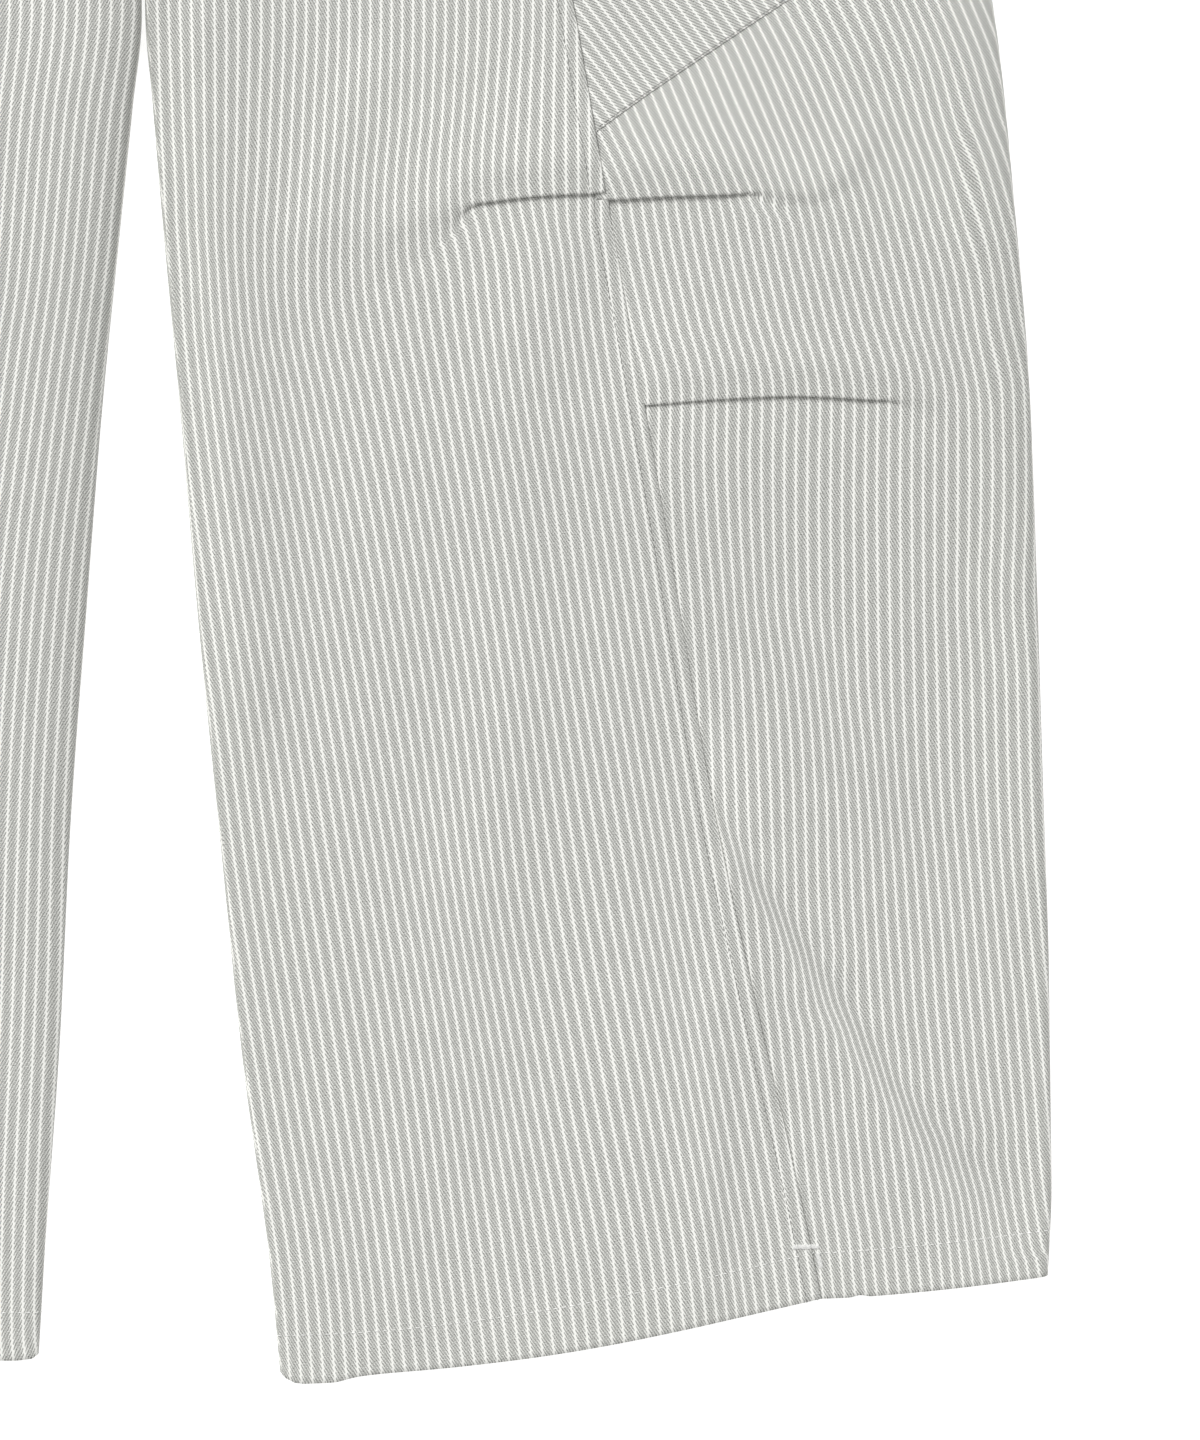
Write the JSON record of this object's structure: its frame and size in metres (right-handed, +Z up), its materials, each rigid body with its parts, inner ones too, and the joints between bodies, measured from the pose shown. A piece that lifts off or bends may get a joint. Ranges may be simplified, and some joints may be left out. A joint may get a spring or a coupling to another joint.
{
  "type": "cargo pants laid flat",
  "caption": "Wide-leg cargo trousers laid flat on their back, with a forward side seam, knee darts and slanted patch pockets, in striped twill.",
  "frame": {"origin": "centre of the bounding box on the surface that the trousers lie on", "axes": "+Y towards the waist, +X towards the wearer's left leg, +Z up through the front"},
  "size_m": [0.746, 0.9466, 0.0262],
  "materials": {
    "panel_twill": "warm light grey cotton twill with fine white warp stripes",
    "pocket_twill": "the same striped twill, cut on the slant",
    "waistband_twill": "the same striped twill, doubled, stripes upright",
    "button_resin": "plain pale grey four-hole resin button"
  },
  "bodies": {
    "root": {"left_front_panel": "panel_twill", "right_front_panel": "panel_twill", "left_back_panel": "panel_twill", "right_back_panel": "panel_twill", "left_cargo_pocket": "pocket_twill", "right_cargo_pocket": "pocket_twill", "left_waistband": "waistband_twill", "right_waistband": "waistband_twill", "waistband_back": "waistband_twill", "waist_button": "button_resin"}
  },
  "joints": []
}
